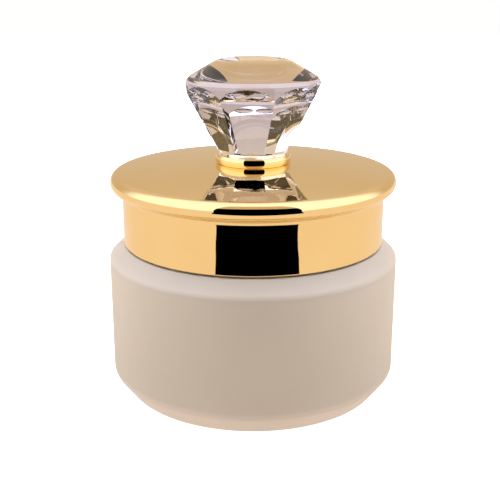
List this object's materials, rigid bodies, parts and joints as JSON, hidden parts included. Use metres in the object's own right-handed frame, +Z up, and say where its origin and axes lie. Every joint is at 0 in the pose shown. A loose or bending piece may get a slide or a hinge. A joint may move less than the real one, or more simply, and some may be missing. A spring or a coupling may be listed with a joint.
{
  "type": "powder jar",
  "caption": "Round frosted glass powder jar with a gilt lift-off lid, half-round rim and a cut crystal knob on a gilt collar.",
  "frame": {"origin": "centre of the flat base, on the surface the jar stands on", "axes": "+Z up along the axis of the jar, lid and knob; -Y is the side that faces the viewer"},
  "size_m": [0.088, 0.088, 0.1002],
  "materials": {
    "frosted_glass": "frosted",
    "gilt_metal": "polished gold plate",
    "white_plastic": "satin",
    "seal_foam": "matte",
    "crystal": "polished",
    "brass": "machined",
    "screw_steel": "zinc plated"
  },
  "bodies": {
    "jar_body": {"jar": "frosted_glass"},
    "seal_body": {"seal_ring": "seal_foam"},
    "lid_body": {"lid_shell": "gilt_metal", "lid_liner": "white_plastic", "knob_collar": "gilt_metal", "crystal_knob": "crystal", "knob_bush": "brass", "knob_screw": "screw_steel", "screw_washer": "screw_steel"}
  },
  "joints": [
    {"name": "lid_lift", "type": "slide", "parent": "jar_body", "child": "seal_body", "axis": [0, 0, 1], "range_m": [0, 0.06]},
    {"name": "lid_turn", "type": "hinge", "parent": "seal_body", "child": "lid_body", "pos_m": [0, 0, 0.0589], "axis": [0, 0, 1], "continuous": true}
  ]
}
